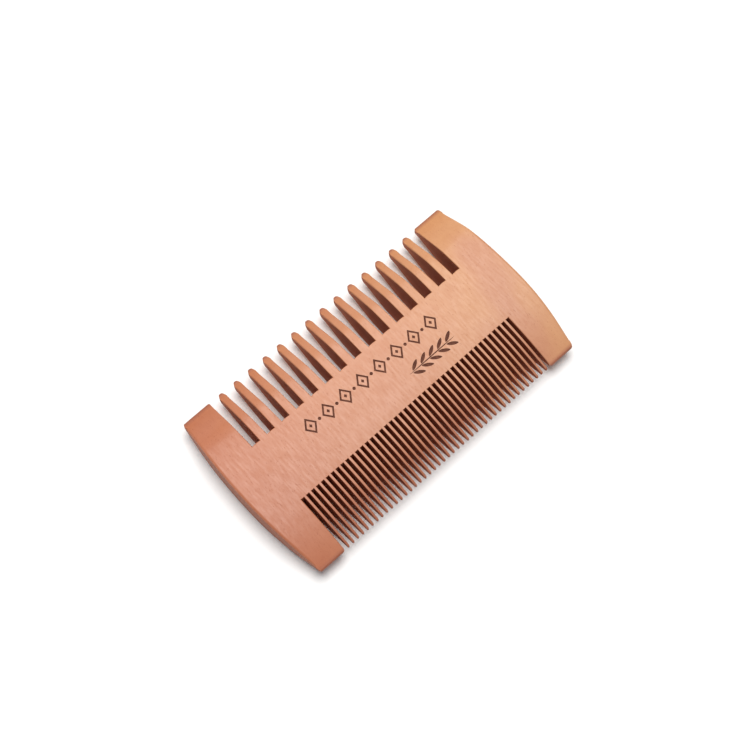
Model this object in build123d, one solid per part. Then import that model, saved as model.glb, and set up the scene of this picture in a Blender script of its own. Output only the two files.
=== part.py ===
from build123d import *
import os

# A double-sided beard comb sawn from one flat wooden blank.
# X runs along the comb, +Y points to the coarse tips, Z is up. Millimetres.
# The origin is under the middle of the comb, on the surface that it lies on.

# overall
length = 100.0  # crown to crown of the bowed ends
width = 56.0  # coarse tips to fine tips
thickness = 10.0  # through the spine

# bowed ends
coarse_corner_setback = 2.2  # how far the corners beside the coarse teeth sit inside the crown
fine_corner_setback = 2.8
end_guard = 11.45  # crown of an end to the wall of the first slot
outer_corner_radius = 0.5
inner_corner_radius = 0.8
end_ease = 1.5  # radius along the upper and lower edges of the bowed ends

# teeth
coarse_slots = 15
coarse_slot = 2.7
coarse_depth = 18.7  # tips to slot bottoms
coarse_taper = 0.2  # what each side of a coarse tooth loses between root and nose
coarse_nose = 2.4  # length of a coarse tooth's elliptical nose
slot_crown = 0.25  # how far a coarse slot's bottom swells between its corners
fine_slots = 44
fine_slot = 1.05
fine_depth = 17.6
fine_taper = 0.05
fine_nose = 4.0

# faces: flat along the spine, then sloping to thin tips on both sides
coarse_bevel = 10.7  # tips to the crease where the plane bevel starts
crease_drop = 0.45  # what each face has lost by the crease
coarse_shoulder = 8.3  # crease to the flat band
coarse_tip = 2.2  # thickness at the coarse tips
fine_sweep = 24.0  # fine tips to the flat band
fine_tip = 1.4

mid_height = thickness / 2
coarse_edge = width / 2
fine_edge = -width / 2
coarse_root = coarse_edge - coarse_depth
fine_root = fine_edge + fine_depth
toothed_span = length - 2 * end_guard


def face_line(side):
    """One face's outline from the fine tips to the coarse tips; side is +1 above and -1 below."""
    surface = mid_height + side * mid_height
    fine_end = (fine_edge + fine_tip / 2, mid_height + side * fine_tip / 2)
    fine_flat = (fine_edge + fine_sweep, surface)
    coarse_flat = (coarse_edge - coarse_bevel - coarse_shoulder, surface)
    crease = (coarse_edge - coarse_bevel, surface - side * crease_drop)
    coarse_end = (coarse_edge - coarse_tip / 2, mid_height + side * coarse_tip / 2)
    TangentArc(fine_flat, fine_end, tangent=(-1, 0))
    Line(fine_flat, coarse_flat)
    TangentArc(coarse_flat, crease, tangent=(1, 0))
    Line(crease, coarse_end)
    return fine_end, coarse_end


def blank():
    """The bar of wood with both faces shaped, before its ends and teeth are cut."""
    with BuildPart() as bar:
        with BuildSketch(Plane.YZ):
            with BuildLine():
                fine_top, coarse_top = face_line(1)
                fine_bottom, coarse_bottom = face_line(-1)
                ThreePointArc(fine_top, (fine_edge, mid_height), fine_bottom)
                ThreePointArc(coarse_top, (coarse_edge, mid_height), coarse_bottom)
            make_face()
        extrude(amount=length / 2, both=True)
    return bar.part


def cut_from_blank(plan):
    """The part of the blank that stands on a flat outline."""
    return blank_bar & extrude(plan, amount=thickness)


def end_guard():
    """The broad plate at the right-hand end, with its bowed outer edge eased above and below."""
    inner = toothed_span / 2
    crown = (length / 2, 0)
    coarse_corner = (length / 2 - coarse_corner_setback, coarse_edge)
    fine_corner = (length / 2 - fine_corner_setback, fine_edge)
    with BuildPart() as plate:
        with BuildSketch() as plan:
            with BuildLine():
                TangentArc(crown, coarse_corner, tangent=(0, 1))
                TangentArc(crown, fine_corner, tangent=(0, -1))
                Polyline(coarse_corner, (inner, coarse_edge), (inner, fine_edge), fine_corner)
            make_face()
            fillet(plan.vertices().sort_by(Axis.X)[:2], inner_corner_radius)
            outer_corners = plan.vertices().group_by(Axis.Y)
            fillet(outer_corners[0].sort_by(Axis.X)[-1:], outer_corner_radius)
            fillet(plan.vertices().group_by(Axis.Y)[-1].sort_by(Axis.X)[-1:], outer_corner_radius)
        extrude(amount=thickness)
        bow = plate.edges().filter_by(GeomType.CIRCLE).sort_by(Edge.length)[-4:]
        fillet(bow, end_ease)
    return blank_bar & plate.part


def tooth_plan(root, tip, root_width, nose_width, nose):
    """A tooth seen from above: tapering flanks and an elliptical nose, centred on X = 0."""
    way = 1 if tip > root else -1
    shoulder = tip - way * nose
    with BuildSketch() as plan:
        with BuildLine():
            EllipticalCenterArc((0, shoulder), nose_width / 2, nose, 90 - way * 90, arc_size=180)
            Polyline(
                (nose_width / 2, shoulder),
                (root_width / 2, root),
                (-root_width / 2, root),
                (-nose_width / 2, shoulder),
            )
        make_face()
    return plan.sketch


def row_of_teeth(slots, slot, root, tip, taper, nose):
    """All the teeth of one side as separate solids, one between each two slots."""
    pitch = (toothed_span - slot) / (slots - 1)
    tooth = pitch - slot
    pattern = cut_from_blank(tooth_plan(root, tip, tooth, tooth - 2 * taper, nose))
    first = -pitch * (slots - 2) / 2
    return [Pos(first + pitch * i, 0, 0) * pattern for i in range(slots - 1)]


def spine_bar():
    """The solid bar between the two rows of slots, with a low crown at each coarse slot's bottom."""
    pitch = (toothed_span - coarse_slot) / (coarse_slots - 1)
    half_slot = coarse_slot / 2
    with BuildSketch() as plan:
        with Locations((0, (coarse_root + fine_root) / 2)):
            Rectangle(toothed_span, coarse_root - fine_root)
        with BuildSketch(mode=Mode.PRIVATE) as crown:
            with BuildLine():
                ThreePointArc((-half_slot, 0), (0, slot_crown), (half_slot, 0))
                Line((-half_slot, 0), (half_slot, 0))
            make_face()
        with Locations((0, coarse_root)):
            with GridLocations(pitch, 0, coarse_slots, 1):
                add(crown.sketch)
    return cut_from_blank(plan.sketch)


blank_bar = blank()
right_guard = end_guard()

nodes = {
    "spine": spine_bar(),
    "right_end_guard": right_guard,
    "left_end_guard": mirror(right_guard, about=Plane.YZ),
    "coarse_teeth": Compound(
        row_of_teeth(coarse_slots, coarse_slot, coarse_root, coarse_edge, coarse_taper, coarse_nose)
    ),
    "fine_teeth": Compound(
        row_of_teeth(fine_slots, fine_slot, fine_root, fine_edge, fine_taper, fine_nose)
    ),
}

os.makedirs("parts", exist_ok=True)
for name, shape in nodes.items():
    export_step(shape, f"parts/{name}.step")
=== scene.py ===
import math
import random

import bpy
from mathutils import Matrix, Vector


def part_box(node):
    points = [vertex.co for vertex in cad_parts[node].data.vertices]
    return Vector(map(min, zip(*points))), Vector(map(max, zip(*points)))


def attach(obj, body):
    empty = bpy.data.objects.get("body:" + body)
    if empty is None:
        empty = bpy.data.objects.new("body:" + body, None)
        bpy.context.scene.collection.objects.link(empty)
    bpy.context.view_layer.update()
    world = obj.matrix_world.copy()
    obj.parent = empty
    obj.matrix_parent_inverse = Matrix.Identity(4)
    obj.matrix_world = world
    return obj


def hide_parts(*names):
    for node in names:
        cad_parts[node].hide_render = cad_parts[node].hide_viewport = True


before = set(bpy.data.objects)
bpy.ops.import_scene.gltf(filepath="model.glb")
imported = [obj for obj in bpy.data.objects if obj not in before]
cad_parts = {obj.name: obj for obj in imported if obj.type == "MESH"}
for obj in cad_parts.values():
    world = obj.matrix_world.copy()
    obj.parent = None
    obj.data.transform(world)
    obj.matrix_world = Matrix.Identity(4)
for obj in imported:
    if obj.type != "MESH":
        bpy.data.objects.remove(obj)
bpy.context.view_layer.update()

mm = 0.001

# how near two points may lie before they are merged, in millimetres
merging = {"blank": 0.01, "lines": 0.002, "cut": 0.02, "ornament": 0.002}

# small helpers


def clearSelection():
    if bpy.context.object and bpy.context.object.mode != "OBJECT":
        bpy.ops.object.mode_set(mode="OBJECT")
    bpy.ops.object.select_all(action="DESELECT")


def pick(piece):
    clearSelection()
    piece.select_set(True)
    bpy.context.view_layer.objects.active = piece


def joinAll(name, pieces):
    pick(pieces[0])
    for piece in pieces[1:]:
        piece.select_set(True)
    bpy.ops.object.join()
    pieces[0].name = name
    return pieces[0]


def applyModifier(piece, kind, **settings):
    pick(piece)
    modifier = piece.modifiers.new(kind.title(), kind)
    for key, value in settings.items():
        setattr(modifier, key, value)
    bpy.ops.object.modifier_apply(modifier=modifier.name)


def closeSpecks(piece, reach):
    # slivers left by cutting are closed up, so that none spoils the shading
    pick(piece)
    bpy.ops.object.mode_set(mode="EDIT")
    bpy.ops.mesh.select_all(action="SELECT")
    bpy.ops.mesh.dissolve_degenerate(threshold=reach * mm)
    bpy.ops.object.mode_set(mode="OBJECT")


def drawOut(x, y, z):
    # extrudes what is selected, by millimetres
    bpy.ops.mesh.extrude_region_move(TRANSFORM_OT_translate={"value": (x * mm, y * mm, z * mm)})


def faceOutward():
    bpy.ops.mesh.select_all(action="SELECT")
    bpy.ops.mesh.normals_make_consistent(inside=False)
    bpy.ops.object.mode_set(mode="OBJECT")


def traceLine(name, points):
    # a plane merged to one vertex, then drawn out from point to point
    clearSelection()
    bpy.ops.mesh.primitive_plane_add(size=mm, location=(points[0][0] * mm, points[0][1] * mm, 0))
    line = bpy.context.object
    line.name = name
    bpy.ops.object.mode_set(mode="EDIT")
    bpy.ops.mesh.merge(type="CENTER")
    for before, after in zip(points, points[1:]):
        drawOut(after[0] - before[0], after[1] - before[1], 0)
    bpy.ops.object.mode_set(mode="OBJECT")
    bpy.ops.object.transform_apply(location=True, rotation=False, scale=False)
    return line


# sizes read from the frame, in millimetres

guardLow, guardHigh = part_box("right_end_guard")
coarseLow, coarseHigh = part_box("coarse_teeth")
fineLow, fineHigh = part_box("fine_teeth")

comb = {
    "halfLength": guardHigh.x / mm,
    "guardInner": guardLow.x / mm,
    "coarseTip": coarseHigh.y / mm,
    "coarseRoot": coarseLow.y / mm,
    "fineTip": fineLow.y / mm,
    "fineRoot": fineHigh.y / mm,
    "midHeight": (guardLow.z + guardHigh.z) / 2 / mm,
    "halfThickness": (guardHigh.z - guardLow.z) / 2 / mm,
    "tipShy": 0.03,  # the outline stops this far inside the rounded tips
}

# the blank: how both faces fall away towards the tips

faces = {
    "coarseBevel": 10.7,  # tips to the crease
    "creaseDrop": 0.45,
    "coarseShoulder": 8.3,  # crease to the flat band
    "coarseTipHalf": 1.1,
    "fineSweep": 24.0,  # fine tips to the flat band
    "fineTipHalf": 0.7,
    "tipLand": 0.12,  # half height left at the very edge
    "overhang": 3.0,  # spare bar past the bowed ends
    "outlineSpare": 2.0,  # the outline stands this far past both faces before it cuts them
    "creaseSoft": 0.9,  # half of the band over which the crease is rounded
    "rootClear": 0.95,  # no row of points this near the slot bottoms, where the edges are eased
    "fineTipRows": 4,
    "fineSweepRows": 24,
    "shoulderRows": 8,
    "bevelRows": 8,
    "coarseTipRows": 5,
}


def arcDrop(run, endRun, endDrop):
    radius = (endRun**2 + endDrop**2) / (2 * endDrop)
    return radius - math.sqrt(radius**2 - run**2)


def tipHalfHeight(fromEdge, tipHalf):
    return max(math.sqrt(max(tipHalf**2 - (tipHalf - fromEdge) ** 2, 0)), faces["tipLand"])


def halfHeight(y):
    # half the comb's thickness at this distance from the long axis
    full = comb["halfThickness"]
    if y > 0:
        fromEdge = comb["coarseTip"] - y
        tipHalf = faces["coarseTipHalf"]
        if fromEdge < tipHalf:
            return tipHalfHeight(fromEdge, tipHalf)
        if fromEdge < faces["coarseBevel"]:
            share = (fromEdge - tipHalf) / (faces["coarseBevel"] - tipHalf)
            return tipHalf + share * (full - faces["creaseDrop"] - tipHalf)
        run = faces["coarseBevel"] + faces["coarseShoulder"] - fromEdge
        return full - arcDrop(max(run, 0), faces["coarseShoulder"], faces["creaseDrop"])
    fromEdge = y - comb["fineTip"]
    tipHalf = faces["fineTipHalf"]
    if fromEdge < tipHalf:
        return tipHalfHeight(fromEdge, tipHalf)
    run = max(faces["fineSweep"] - fromEdge, 0)
    return full - arcDrop(run, faces["fineSweep"] - tipHalf, full - tipHalf)


def spread(start, stop, count):
    return [start + (stop - start) * i / count for i in range(count)]


def rowStations():
    # where the rows of points lie across the comb, from the fine tips to the coarse tips
    coarse, fine = comb["coarseTip"], comb["fineTip"]
    crease = coarse - faces["coarseBevel"]
    stations = spread(fine, fine + faces["fineTipHalf"], faces["fineTipRows"])
    stations += spread(fine + faces["fineTipHalf"], fine + faces["fineSweep"], faces["fineSweepRows"])
    stations += [fine + faces["fineSweep"]]
    stations += spread(crease - faces["coarseShoulder"], crease - faces["creaseSoft"], faces["shoulderRows"])
    stations += [crease - faces["creaseSoft"]]
    stations += spread(crease + faces["creaseSoft"], coarse - faces["coarseTipHalf"], faces["bevelRows"])
    stations += spread(coarse - faces["coarseTipHalf"], coarse, faces["coarseTipRows"])
    roots = (comb["fineRoot"], comb["coarseRoot"])
    kept = [y for y in stations if min(abs(y - root) for root in roots) > faces["rootClear"]]
    return kept + [coarse]


def makeBlank():
    stations = rowStations()
    clearSelection()
    bpy.ops.mesh.primitive_plane_add(size=2, location=(0, 0, 0))
    blank = bpy.context.object
    blank.name = "combBody"
    reach = (comb["halfLength"] + faces["overhang"]) * mm
    for vertex in blank.data.vertices:
        vertex.co.x = math.copysign(reach, vertex.co.x)
        vertex.co.y = stations[0] * mm
    bpy.ops.object.mode_set(mode="EDIT")
    bpy.ops.mesh.remove_doubles(threshold=merging["blank"] * mm)
    for before, after in zip(stations, stations[1:]):
        drawOut(0, after - before, 0)
    bpy.ops.mesh.select_all(action="SELECT")
    drawOut(0, 0, -1)
    bpy.ops.object.mode_set(mode="OBJECT")
    for vertex in blank.data.vertices:
        side = 1 if vertex.co.z > -0.5 * mm else -1
        vertex.co.z = (comb["midHeight"] + side * halfHeight(vertex.co.y / mm)) * mm
    bpy.ops.object.mode_set(mode="EDIT")
    faceOutward()
    return blank


# the outline seen from above: teeth, slots and bowed ends

coarseTeeth = {
    "count": 14,
    "slot": comb["guardInner"] + coarseLow.x / mm,
    "root": comb["coarseRoot"],
    "tip": comb["coarseTip"] - comb["tipShy"],
    "way": 1,
    "taper": 0.2,
    "noseLength": 2.4,
    "noseTrim": 0.0,
    "noseSteps": 9,
    "crown": 0.1,
    "tipWander": 0.05,
    "lengthWander": 0.12,
}
fineTeeth = {
    "count": 43,
    "slot": comb["guardInner"] + fineLow.x / mm,
    "root": comb["fineRoot"],
    "tip": comb["fineTip"] + comb["tipShy"],
    "way": -1,
    "taper": 0.035,
    "noseLength": 4.0,
    "noseTrim": 0.03,
    "noseSteps": 6,
    "crown": 0.06,
    "tipWander": 0.035,
    "lengthWander": 0.1,
}
toothDrawing = {
    "floor": (0, 0.4, 0.7, 0.9, 1),  # from the slot's middle to its corner
    "flank": (0.25, 0.5, 0.75),
    "trim": (0, 0.35, 0.7),
    "noseAspect": 2.4,  # a rounded nose is no longer than this many times its half width
    "seed": 14,
}
bowedEnd = {
    "coarseSetback": 2.2,
    "fineSetback": 2.8,
    "innerRadius": 0.8,
    "outerRadius": 0.5,
    "outerReach": 1.1,  # the outer corner's arc, in its own radii from the bow
    "outerStart": 1.4,  # the bow starts this many radii below the corner
    "outerUntil": 8,  # degrees, where the corner's arc gives way to the bow
    "bowStep": 1.5,
    "leastStep": 0.3,
    "cornerSteps": 5,
}


def pitchOf(row):
    return (2 * comb["guardInner"] - row["slot"]) / row["count"]


def slotFloor(row, share):
    # the slot's bottom swells between its corners; share runs 0 at a corner to 1 at the middle
    return row["root"] + row["way"] * row["crown"] * math.sin(share * math.pi / 2)


def toothOutline(row):
    pitch = pitchOf(row)
    rootHalf = (pitch - row["slot"]) / 2
    flankHalf = rootHalf - row["taper"]
    shoulder = row["tip"] - row["way"] * row["noseLength"]
    half = [(pitch / 2 - (row["slot"] / 2) * s, slotFloor(row, 1 - s)) for s in toothDrawing["floor"]]
    half += [(rootHalf + (flankHalf - rootHalf) * s, row["root"] + (shoulder - row["root"]) * s)
             for s in toothDrawing["flank"]]
    roundHalf = flankHalf - row["noseTrim"]
    roundLength = min(row["noseLength"], toothDrawing["noseAspect"] * roundHalf)
    if row["noseTrim"]:
        for s in toothDrawing["trim"]:
            half.append((flankHalf - row["noseTrim"] * s**1.5,
                         shoulder + row["way"] * (row["noseLength"] - roundLength) * s))
    steps = row["noseSteps"]
    for i in range(steps):
        turn = math.pi / 2 * i / steps
        y = row["tip"] - row["way"] * roundLength * (1 - math.sin(turn))
        half.append((roundHalf * math.cos(turn), y))
    return [(-x, y) for x, y in half] + [(0, row["tip"])] + half[::-1]


def rowOfTeeth(name, row, dice):
    pattern = traceLine(name, toothOutline(row))
    pitch = pitchOf(row)
    teeth = []
    for i in range(row["count"]):
        tooth = pattern.copy()
        tooth.data = pattern.data.copy()
        bpy.context.collection.objects.link(tooth)
        lean = dice.uniform(-1, 1) * row["tipWander"]
        short = dice.uniform(0, 1) * row["lengthWander"]
        for vertex in tooth.data.vertices:
            share = max((vertex.co.y / mm - row["root"]) / (row["tip"] - row["root"]), 0)
            vertex.co.x += (pitch * (i - (row["count"] - 1) / 2) + lean * share**2) * mm
            vertex.co.y -= row["way"] * short * share**2 * mm
        teeth.append(tooth)
    bpy.data.objects.remove(pattern)
    return teeth


def cornerArc(centre, radius, fromDegrees, toDegrees):
    steps = bowedEnd["cornerSteps"]
    turns = [math.radians(fromDegrees + (toDegrees - fromDegrees) * i / steps) for i in range(steps + 1)]
    return [(centre[0] + radius * math.cos(t), centre[1] + radius * math.sin(t)) for t in turns]


def bowX(y, row, setback):
    # the end is an arc from its crown to the corner at this row's tips
    return comb["halfLength"] - arcDrop(abs(y), abs(row["tip"]), setback)


def bowStops(way, start):
    # stops along the bow lie midway between the faces' rows, so that the two never nearly meet
    rows = sorted((y * way for y in rowStations() if 0 < y * way < start), reverse=True)
    stops = [start]
    for upper, lower in zip(rows, rows[1:] + [0]):
        parts = max(round((upper - lower) / bowedEnd["bowStep"]), 1)
        middles = [upper - (upper - lower) * (i + 0.5) / parts for i in range(parts)]
        stops += [y for y in middles if stops[-1] - y > bowedEnd["leastStep"]]
    return [y * way for y in stops]


def endOutline():
    inner, innerRadius = comb["guardInner"], bowedEnd["innerRadius"]
    outerRadius = bowedEnd["outerRadius"]
    points = []
    for row, setback in ((coarseTeeth, bowedEnd["coarseSetback"]), (fineTeeth, bowedEnd["fineSetback"])):
        way, tip = row["way"], row["tip"]
        side = [(inner - row["slot"] / 2 * (1 - s), slotFloor(row, 1 - s)) for s in toothDrawing["floor"]]
        side += cornerArc((inner + innerRadius, tip - way * innerRadius), innerRadius, 180, 180 - way * 90)
        cornerX = bowX(tip, row, setback) - outerRadius * bowedEnd["outerReach"]
        until = bowedEnd["outerUntil"]
        side += cornerArc((cornerX, tip - way * outerRadius), outerRadius, way * 90, way * until)
        bow = bowStops(way, abs(tip) - outerRadius * bowedEnd["outerStart"])
        side += [(bowX(y, row, setback), y) for y in bow + [0] * (way > 0)]
        points += side[::way]
    return points


def makeOutline():
    dice = random.Random(toothDrawing["seed"])
    lines = rowOfTeeth("coarseLine", coarseTeeth, dice) + rowOfTeeth("fineLine", fineTeeth, dice)
    ends = endOutline()
    lines.append(traceLine("rightEndLine", ends))
    lines.append(traceLine("leftEndLine", [(-x, y) for x, y in ends]))
    outline = joinAll("outline", lines)
    bpy.ops.object.mode_set(mode="EDIT")
    bpy.ops.mesh.select_all(action="SELECT")
    bpy.ops.mesh.remove_doubles(threshold=merging["lines"] * mm)
    bpy.ops.mesh.edge_face_add()
    spare = faces["outlineSpare"]
    bpy.ops.transform.translate(value=(0, 0, -spare * mm))
    drawOut(0, 0, 2 * comb["halfThickness"] + 2 * spare)
    faceOutward()
    return outline


combBody = makeBlank()
outline = makeOutline()
print("outline", len(outline.data.vertices), "vertices", len(outline.data.polygons), "faces")
applyModifier(combBody, "BOOLEAN", operation="INTERSECT", object=outline, solver="EXACT")
bpy.data.objects.remove(outline)
print("comb body cut:", len(combBody.data.vertices), "vertices", len(combBody.data.polygons), "faces")

easing = {
    "segments": 4,
    "bow": 0.9,
    "guard": 0.32,
    "coarse": 0.2,
    "coarseWorn": 0.6,  # what wear adds towards the tips
    "fine": 0.08,
    "fineWorn": 0.07,
    "thicknessShare": 0.42,  # no wider than this share of half the thickness
    "bare": 2.0,  # no easing this near the tips, which are already rounded
    "bareFine": 0.7,
    "least": 0.1,  # a coarse tooth's easing starts this wide and widens by the next value per millimetre
    "widening": 0.35,
    "wallSlope": 0.05,  # an edge is eased where one side is this near upright and the other is a face
    "faceSlope": 0.45,
}


def easeWidth(x, y):
    # how wide the eased edge is at this place on the outline
    local = halfHeight(y)
    offTips = comb["fineTip"] + 1 < y < comb["coarseTip"] - 1
    if abs(x) > comb["guardInner"] + 2.0 * bowedEnd["innerRadius"] and offTips:
        width = easing["bow"]
    elif abs(x) > comb["guardInner"] - 0.01:
        width = easing["guard"]
    elif y > 0:
        share = (y - comb["coarseRoot"]) / (comb["coarseTip"] - comb["coarseRoot"])
        width = easing["coarse"] + easing["coarseWorn"] * max(share, 0) ** 2
    else:
        share = (comb["fineRoot"] - y) / (comb["fineRoot"] - comb["fineTip"])
        width = easing["fine"] + easing["fineWorn"] * max(share, 0)
    onTooth = abs(x) < comb["guardInner"]
    bare = easing["bareFine" if onTooth and y < 0 else "bare"]
    pastBare = min(comb["coarseTip"] - y, y - comb["fineTip"]) - bare
    if pastBare < 0:
        return 0.0
    if onTooth and y > 0:
        width = min(width, easing["least"] + easing["widening"] * pastBare)
    return min(width, easing["thicknessShare"] * local)


def easeEdges(piece):
    mesh = piece.data
    normals = {}
    for polygon in mesh.polygons:
        for key in polygon.edge_keys:
            normals.setdefault(key, []).append(polygon.normal.copy())
    weights = mesh.attributes.new("bevel_weight_edge", "FLOAT", "EDGE")
    for edge in mesh.edges:
        sides = normals.get(tuple(sorted(edge.vertices)), [])
        if len(sides) != 2:
            continue
        lowest, highest = sorted(abs(n.z) for n in sides)
        if lowest < easing["wallSlope"] and highest > easing["faceSlope"]:
            ends = [mesh.vertices[i].co for i in edge.vertices]
            middle = (ends[0] + ends[1]) / 2 / mm
            weights.data[edge.index].value = easeWidth(middle.x, middle.y) / easing["bow"]
    applyModifier(piece, "BEVEL", limit_method="WEIGHT", width=easing["bow"] * mm,
                  segments=easing["segments"], use_clamp_overlap=False)


# finishes

woodLook = {
    "left": (0.47, 0.157, 0.074),
    "middle": (0.545, 0.229, 0.117),
    "right": (0.600, 0.292, 0.138),
    "mauve": (0.50, 0.200, 0.125),
    # slot walls: sawn wood, painted darker as the shade in the slots; the narrower fine slots are painted
    # darker still
    "sawnAndShade": (0.47, 0.168, 0.092),
    "sawnFineAndShade": (0.40, 0.125, 0.064),
    # bowed end walls: sanded wood, painted darker as the shade on these upright sides
    "end": (0.37, 0.135, 0.080),
    "tip": (0.30, 0.085, 0.04),  # end grain at the very tips drinks more oil; at the fine tips it is also painted shade on their down-facing edges, and it darkens the fine teeth along their length
    "burnt": (0.085, 0.026, 0.015),
    "burntPale": (0.155, 0.056, 0.032),
    "roughness": 0.44,
    "polish": 0.5,
    "drift": 0.024,  # how far, in metres, the clouding moves the broad colours about
    "mauveMost": 0.5,
    "streaks": 0.15,
    "mottling": 0.16,
    "plainStreaks": 0.5,
    "coarseOuterTint": (0.95, 0.88, 0.76),
    "streakShade": (0.80, 0.62, 0.50),
    "mottleShade": (0.82, 0.68, 0.60),
    "poreShade": (0.72, 0.58, 0.50),
    "fineSideShade": (0.93, 0.92, 0.93),
    "plainShade": (0.8, 0.72, 0.68),
}
# where the colours change, in metres along the comb or across it
woodBands = {
    "leftToMiddle": (-0.040, 0.006),
    "middleToRight": (0.006, 0.065),
    "fineSide": (-0.011, 0.011),
    "fineTeeth": (-0.012, -0.0285),
    "lessRight": (-0.005, 0.030),
    "coarseOuter": (0.0205, 0.0265),
    "coarseEnd": (0.0262, 0.0278),
    "fineTipGrainAndShade": (-0.0265, -0.0280),
}


def shade(tree, kind, place, **inputs):
    node = tree.nodes.new(kind)
    node.location = place
    for key, value in inputs.items():
        node.inputs[key.replace("_", " ")].default_value = value
    return node


def blendColours(tree, place, factor, first, second, mode="MIX"):
    mix = tree.nodes.new("ShaderNodeMix")
    mix.data_type = "RGBA"
    mix.blend_type = mode
    mix.location = place
    for key, value in (("Factor", factor), ("A", first), ("B", second)):
        socket = mix.inputs[key]
        if isinstance(value, bpy.types.NodeSocket):
            tree.links.new(value, socket)
        elif isinstance(value, tuple):
            socket.default_value = (*value, 1)
        else:
            socket.default_value = value
    return mix.outputs["Result"]


def tint(tree, place, colour, shadeOf):
    return blendColours(tree, place, 1.0, colour, shadeOf, "MULTIPLY")


def multiply(tree, place, first, second):
    node = tree.nodes.new("ShaderNodeMath")
    node.operation = "MULTIPLY"
    node.location = place
    tree.links.new(first, node.inputs[0])
    tree.links.new(second, node.inputs[1])
    return node.outputs[0]


def remap(tree, place, value, low, high, outLow=0.0, outHigh=1.0):
    node = tree.nodes.new("ShaderNodeMapRange")
    node.location = place
    node.interpolation_type = "SMOOTHSTEP"
    tree.links.new(value, node.inputs["Value"])
    for key, number in (("From Min", low), ("From Max", high), ("To Min", outLow), ("To Max", outHigh)):
        node.inputs[key].default_value = number
    return node.outputs["Result"]


def grainNoise(tree, coordinates, place, stretch, scale, detail, roughness=0.55):
    mapping = tree.nodes.new("ShaderNodeMapping")
    mapping.location = (place[0] - 200, place[1])
    mapping.inputs["Scale"].default_value = stretch
    tree.links.new(coordinates, mapping.inputs["Vector"])
    noise = shade(tree, "ShaderNodeTexNoise", place, Scale=scale, Detail=detail, Roughness=roughness)
    tree.links.new(mapping.outputs["Vector"], noise.inputs["Vector"])
    return noise.outputs["Fac"]


def newFinish(name):
    finish = bpy.data.materials.new(name)
    finish.use_nodes = True
    tree = finish.node_tree
    coordinates = tree.nodes.new("ShaderNodeTexCoord")
    coordinates.location = (-1600, 0)
    return finish, tree, tree.nodes["Principled BSDF"], coordinates.outputs["Object"]


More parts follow.
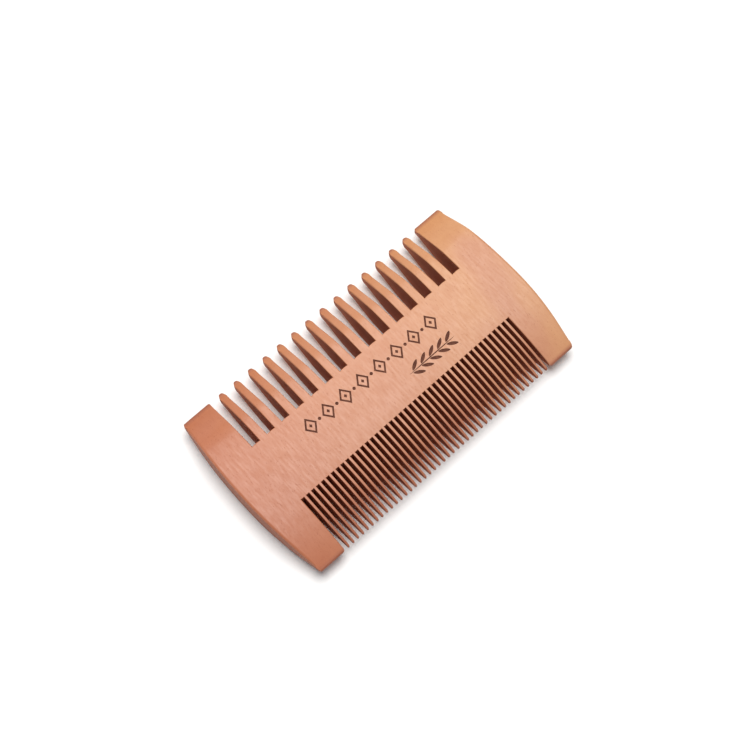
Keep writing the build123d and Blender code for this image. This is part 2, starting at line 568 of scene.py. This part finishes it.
def combWood():
    finish, tree, shader, place = newFinish("combWood")
    split = tree.nodes.new("ShaderNodeSeparateXYZ")
    tree.links.new(place, split.inputs["Vector"])
    # broad colour: redder on the left, yellower on the right, clouded in between
    cloud = grainNoise(tree, place, (-1200, 500), (1, 0.8, 1), 55, 3)
    drift = tree.nodes.new("ShaderNodeMath")
    drift.operation = "MULTIPLY_ADD"
    tree.links.new(cloud, drift.inputs[0])
    drift.inputs[1].default_value = woodLook["drift"]
    tree.links.new(split.outputs["X"], drift.inputs[2])
    toMiddle = remap(tree, (-1000, 700), drift.outputs[0], *woodBands["leftToMiddle"])
    toRight = remap(tree, (-1000, 500), drift.outputs[0], *woodBands["middleToRight"])
    colour = blendColours(tree, (-800, 600), toMiddle, woodLook["left"], woodLook["middle"])
    colour = blendColours(tree, (-600, 600), toRight, colour, woodLook["right"])
    # a few mauve patches
    patch = grainNoise(tree, place, (-1200, 250), (1, 0.7, 1), 38, 2)
    patches = remap(tree, (-1000, 250), patch, 0.54, 0.74, 0, woodLook["mauveMost"])
    colour = blendColours(tree, (-400, 500), patches, colour, woodLook["mauve"])
    # paler towards the coarse side of the flat
    paler = remap(tree, (-1000, 100), split.outputs["Y"], *woodBands["fineSide"])
    darker = tint(tree, (-500, 300), colour, woodLook["fineSideShade"])
    colour = blendColours(tree, (-300, 600), paler, darker, colour)
    # the fine teeth darken along their length
    across = tree.nodes.new("ShaderNodeMath")
    across.operation = "ABSOLUTE"
    tree.links.new(split.outputs["X"], across.inputs[0])
    inner = comb["guardInner"]
    teeth = remap(tree, (-1000, -50), across.outputs[0], inner * mm, (inner - 0.3) * mm)
    along = remap(tree, (-1000, -80), split.outputs["Y"], *woodBands["fineTeeth"])
    lessRight = remap(tree, (-1000, -110), split.outputs["X"], *woodBands["lessRight"], 0.8, 0.35)
    both = multiply(tree, (-700, -50), multiply(tree, (-800, -50), teeth, along), lessRight)
    colour = blendColours(tree, (-250, 400), both, colour, woodLook["tip"])
    # the coarse teeth turn deeper and more orange towards their tips
    coarseOuter = remap(tree, (-1000, 20), split.outputs["Y"], *woodBands["coarseOuter"])
    deeper = tint(tree, (-500, 100), colour, woodLook["coarseOuterTint"])
    colour = blendColours(tree, (-250, 600), coarseOuter, colour, deeper)
    # end grain at both rows of tips; at the fine tips the band is also painted shade on their down-facing
    # rounded edges
    coarseEnd = remap(tree, (-1000, 50), split.outputs["Y"], *woodBands["coarseEnd"], 0, 0.85)
    fineTipGrainAndShade = remap(tree, (-1000, -100), split.outputs["Y"], *woodBands["fineTipGrainAndShade"], 0, 0.9)
    colour = blendColours(tree, (-200, 400), coarseEnd, colour, woodLook["tip"])
    colour = blendColours(tree, (0, 400), fineTipGrainAndShade, colour, woodLook["tip"])
    # fine grain and pores run with the teeth
    grain = grainNoise(tree, place, (-1200, -300), (1, 0.16, 1), 1500, 4)
    streaks = remap(tree, (-1000, -300), grain, 0.3, 0.7, 0, woodLook["streaks"])
    colour = blendColours(tree, (200, 400), streaks, colour, woodLook["streakShade"], "MULTIPLY")
    mottle = grainNoise(tree, place, (-1200, -700), (1, 0.6, 1), 750, 3)
    blotches = remap(tree, (-1000, -700), mottle, 0.34, 0.66, 0, woodLook["mottling"])
    colour = blendColours(tree, (300, 400), blotches, colour, woodLook["mottleShade"], "MULTIPLY")
    pores = grainNoise(tree, place, (-1200, -500), (1, 0.16, 1), 5200, 2)
    poreMask = remap(tree, (-1000, -500), pores, 0.62, 0.75)
    colour = blendColours(tree, (400, 400), poreMask, colour, woodLook["poreShade"], "MULTIPLY")
    tree.links.new(colour, shader.inputs["Base Color"])
    rough = woodLook["roughness"]
    gloss = remap(tree, (-600, -300), grain, 0.2, 0.8, rough - 0.06, rough + 0.1)
    tree.links.new(gloss, shader.inputs["Roughness"])
    shader.inputs["Specular IOR Level"].default_value = woodLook["polish"]
    bump = shade(tree, "ShaderNodeBump", (600, -300), Strength=0.25, Distance=0.00006)
    tree.links.new(grain, bump.inputs["Height"])
    poreBump = shade(tree, "ShaderNodeBump", (800, -300), Strength=0.35, Distance=0.00004)
    poreBump.invert = True
    tree.links.new(poreMask, poreBump.inputs["Height"])
    tree.links.new(bump.outputs["Normal"], poreBump.inputs["Normal"])
    tree.links.new(poreBump.outputs["Normal"], shader.inputs["Normal"])
    return finish


def plainWood(name, colourKey, rough, polish):
    # unpolished surfaces: one colour with grain in it
    finish, tree, shader, place = newFinish(name)
    grain = grainNoise(tree, place, (-900, 200), (1, 0.2, 0.6), 1300, 3)
    streaks = remap(tree, (-700, 200), grain, 0.3, 0.7, 0, woodLook["plainStreaks"])
    colour = blendColours(tree, (-400, 200), streaks, woodLook[colourKey], woodLook["plainShade"], "MULTIPLY")
    tree.links.new(colour, shader.inputs["Base Color"])
    shader.inputs["Roughness"].default_value = rough
    shader.inputs["Specular IOR Level"].default_value = polish
    bump = shade(tree, "ShaderNodeBump", (-200, -200), Strength=0.3, Distance=0.00005)
    tree.links.new(grain, bump.inputs["Height"])
    tree.links.new(bump.outputs["Normal"], shader.inputs["Normal"])
    return finish


def burntWood():
    finish, tree, shader, place = newFinish("burntWood")
    soot = grainNoise(tree, place, (-900, 200), (1, 0.3, 1), 2600, 3)
    colour = blendColours(tree, (-400, 200), remap(tree, (-700, 200), soot, 0.3, 0.72),
                          woodLook["burnt"], woodLook["burntPale"])
    tree.links.new(colour, shader.inputs["Base Color"])
    shader.inputs["Roughness"].default_value = 0.78
    shader.inputs["Specular IOR Level"].default_value = 0.2
    bump = shade(tree, "ShaderNodeBump", (-200, -200), Strength=0.5, Distance=0.00006)
    tree.links.new(soot, bump.inputs["Height"])
    tree.links.new(bump.outputs["Normal"], shader.inputs["Normal"])
    return finish


combBody.data.materials.append(combWood())

# the burnt-in ornament: a lozenge border and a leaf sprig

ornament = {
    "depth": 0.2,
    "above": 1.0,  # the cutter stands this far above the face
    "stroke": 0.52,
    "borderLeft": -23.0,
    "borderRight": 21.4,
    "borderMiddle": 3.0,
    "lozenges": 8,
    "lozengeHalf": (2.05, 2.75),
    "dotHalf": (0.5, 0.62),
    "beadHalf": 0.5,
    "sprigMiddle": (15.2, -4.4),
    "sprigHalf": 8.6,
    "leafPairs": 5,
    "leafHalf": (1.75, 0.52),
    "leafTilt": 32,
    "leafPoint": 0.35,  # how pointed the leaves are
    "leafStart": 0.78,  # the first pair, as a share of the sprig's half length
    "leafStep": 0.36,
    "leafStagger": 0.15,
    "stemHalf": 0.17,
    "beadCorners": 14,
    "stemCorners": 12,
    "leafCorners": 16,
}


def flatShape(corners, halfWidth, halfHeightUp, at, turn=0.0, hollow=0.0):
    # a closed flat outline that is sunk into the face as a shallow cutter
    clearSelection()
    bpy.ops.mesh.primitive_circle_add(vertices=corners, radius=1, fill_type="NGON")
    shape = bpy.context.object
    for vertex in shape.data.vertices:
        x, y = vertex.co.x * halfWidth, vertex.co.y * halfHeightUp
        if corners > 4:
            y *= abs(vertex.co.y) ** ornament["leafPoint"]
        spin = math.radians(turn)
        vertex.co.x = (at[0] + x * math.cos(spin) - y * math.sin(spin)) * mm
        vertex.co.y = (at[1] + x * math.sin(spin) + y * math.cos(spin)) * mm
    bpy.ops.object.mode_set(mode="EDIT")
    bpy.ops.mesh.select_all(action="SELECT")
    if hollow:
        bpy.ops.mesh.inset(thickness=hollow * mm)
        bpy.ops.mesh.delete(type="FACE")
        bpy.ops.mesh.select_all(action="SELECT")
    drawOut(0, 0, 1)
    faceOutward()
    for vertex in shape.data.vertices:
        surface = comb["midHeight"] + halfHeight(vertex.co.y / mm)
        vertex.co.z = (surface + (ornament["above"] if vertex.co.z > mm / 2 else -ornament["depth"])) * mm
    return shape


def makeOrnament():
    shapes = []
    count, middle = ornament["lozenges"], ornament["borderMiddle"]
    step = (ornament["borderRight"] - ornament["borderLeft"]) / (count - 1)
    for i in range(count):
        x = ornament["borderLeft"] + step * i
        shapes.append(flatShape(4, *ornament["lozengeHalf"], (x, middle), hollow=ornament["stroke"]))
        shapes.append(flatShape(4, *ornament["dotHalf"], (x, middle)))
        if i < count - 1:
            bead = ornament["beadHalf"]
            shapes.append(flatShape(ornament["beadCorners"], bead, bead, (x + step / 2, middle)))
    sprigX, sprigY = ornament["sprigMiddle"]
    reach = ornament["sprigHalf"]
    shapes.append(flatShape(ornament["stemCorners"], reach, ornament["stemHalf"], (sprigX, sprigY)))
    leafLong, leafWide = ornament["leafHalf"]
    offset = leafLong * math.sin(math.radians(ornament["leafTilt"])) + leafWide * 0.55
    for i in range(ornament["leafPairs"]):
        along = sprigX - reach * ornament["leafStart"] + i * reach * ornament["leafStep"]
        for side in (1, -1):
            leafX = along + leafLong * 0.6 * (1 + side * ornament["leafStagger"])
            shapes.append(flatShape(ornament["leafCorners"], leafLong, leafWide,
                                    (leafX, sprigY + side * offset), turn=side * ornament["leafTilt"]))
    cutter = joinAll("ornamentCutter", shapes)
    cutter.data.materials.append(burntWood())
    return cutter


closeSpecks(combBody, merging["cut"])
easeEdges(combBody)
print("edges eased:", len(combBody.data.vertices), "vertices", len(combBody.data.polygons), "faces")
cutter = makeOrnament()
applyModifier(combBody, "BOOLEAN", operation="DIFFERENCE", object=cutter, solver="EXACT",
              material_mode="TRANSFER")
bpy.data.objects.remove(cutter)
applyModifier(combBody, "TRIANGULATE", min_vertices=5)
closeSpecks(combBody, merging["ornament"])
print("ornament sunk in:", len(combBody.data.vertices), "vertices", len(combBody.data.polygons), "faces")


walls = {
    "sawnAndShadeSlope": 0.2,  # a wall is this near upright
    "endSlope": 0.3,
    "rootReach": 0.3,
    "flankReach": 0.02,
    "smoothAngle": 35,
    "faceWeight": 80,
}


def dressWalls(piece):
    # walls between the teeth keep the saw's surface, and their darker colour is partly painted shade in the
    # slots, darkest in the narrow fine slots; the bowed end walls are only sanded, and their darker colour is
    # painted shade
    mesh = piece.data
    first = len(mesh.materials)
    mesh.materials.append(plainWood("sawnAndShadeWood", "sawnAndShade", 0.7, 0.1))
    mesh.materials.append(plainWood("sawnFineAndShadeWood", "sawnFineAndShade", 0.7, 0.08))
    mesh.materials.append(plainWood("endShadedWood", "end", 0.6, 0.15))
    for polygon in mesh.polygons:
        middle = polygon.center / mm
        upright = abs(polygon.normal.z)
        reach = walls["rootReach"]
        toothed = middle.y > comb["coarseRoot"] - reach or middle.y < comb["fineRoot"] + reach
        between = abs(middle.x) < comb["guardInner"] + walls["flankReach"]
        if upright < walls["sawnAndShadeSlope"] and between and toothed:
            polygon.material_index = first + (middle.y < 0)
        elif upright < walls["endSlope"] and abs(middle.x) > comb["guardInner"] + bowedEnd["innerRadius"]:
            polygon.material_index = first + 2


dressWalls(combBody)
pick(combBody)
bpy.ops.object.shade_smooth_by_angle(angle=math.radians(walls["smoothAngle"]))
applyModifier(combBody, "WEIGHTED_NORMAL", mode="FACE_AREA", weight=walls["faceWeight"], keep_sharp=True)

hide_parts("spine", "left_end_guard", "right_end_guard", "coarse_teeth", "fine_teeth")
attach(combBody, "root")

# floor, light and camera

studio = {
    "floorSize": 1.6,
    "floorTone": 0.9,
    "skyColour": (0.90, 0.95, 1.0),
    "skyStrength": 0.33,
    "keyFrom": (0.12, 0.17, 1.0),  # direction towards the lamp
    "keyAway": 1.2,
    "keySize": 0.88,
    "keyPower": 16.2,
    "keyColour": (1.0, 0.985, 0.96),
}


def makeFloor():
    clearSelection()
    bpy.ops.mesh.primitive_plane_add(size=studio["floorSize"], location=(0, 0, 0))
    floor = bpy.context.object
    floor.name = "floor"
    finish = bpy.data.materials.new("paleFloor")
    finish.use_nodes = True
    shader = finish.node_tree.nodes["Principled BSDF"]
    tone = studio["floorTone"]
    shader.inputs["Base Color"].default_value = (tone, tone, tone, 1)
    shader.inputs["Roughness"].default_value = 0.9
    shader.inputs["Specular IOR Level"].default_value = 0.1
    floor.data.materials.append(finish)


def makeLight():
    world = bpy.data.worlds.new("studioSky")
    bpy.context.scene.world = world
    world.use_nodes = True
    sky = world.node_tree.nodes["Background"]
    sky.inputs["Color"].default_value = (*studio["skyColour"], 1)
    sky.inputs["Strength"].default_value = studio["skyStrength"]
    lamp = bpy.data.lights.new("keyLamp", "AREA")
    lamp.shape = "DISK"
    lamp.size = studio["keySize"]
    lamp.energy = studio["keyPower"]
    lamp.color = studio["keyColour"]
    key = bpy.data.objects.new("keyLamp", lamp)
    bpy.context.scene.collection.objects.link(key)
    towards = Vector(studio["keyFrom"]).normalized()
    key.location = towards * studio["keyAway"]
    key.rotation_euler = towards.to_track_quat("Z", "Y").to_euler()


shot = {
    "aim": (2.07, 4.44, 0.0),  # millimetres, as is the distance; the angles are in degrees
    "elevation": 71.16,
    "azimuth": 225.87,
    "roll": 1.59,
    "distance": 460.5,
    "lens": 78.86,
    "sensor": 36,
}


def makeCamera():
    tilt, turn = math.radians(90 - shot["elevation"]), math.radians(shot["azimuth"])
    back = Vector((math.sin(tilt) * math.cos(turn), math.sin(tilt) * math.sin(turn), math.cos(tilt)))
    data = bpy.data.cameras.new("camera")
    camera = bpy.data.objects.new("camera", data)
    bpy.context.scene.collection.objects.link(camera)
    right = Vector((0, 0, 1)).cross(back).normalized()
    up = back.cross(right)
    facing = Matrix((right, up, back)).transposed().to_4x4()
    rolled = facing @ Matrix.Rotation(math.radians(shot["roll"]), 4, "Z")
    place = (Vector(shot["aim"]) + back * shot["distance"]) * mm
    camera.matrix_world = Matrix.Translation(place) @ rolled
    data.lens = shot["lens"]
    data.sensor_width = shot["sensor"]
    data.clip_start = 0.01
    bpy.context.scene.camera = camera


makeFloor()
makeLight()
makeCamera()
bpy.context.scene.view_settings.view_transform = "Standard"
print("studio ready")
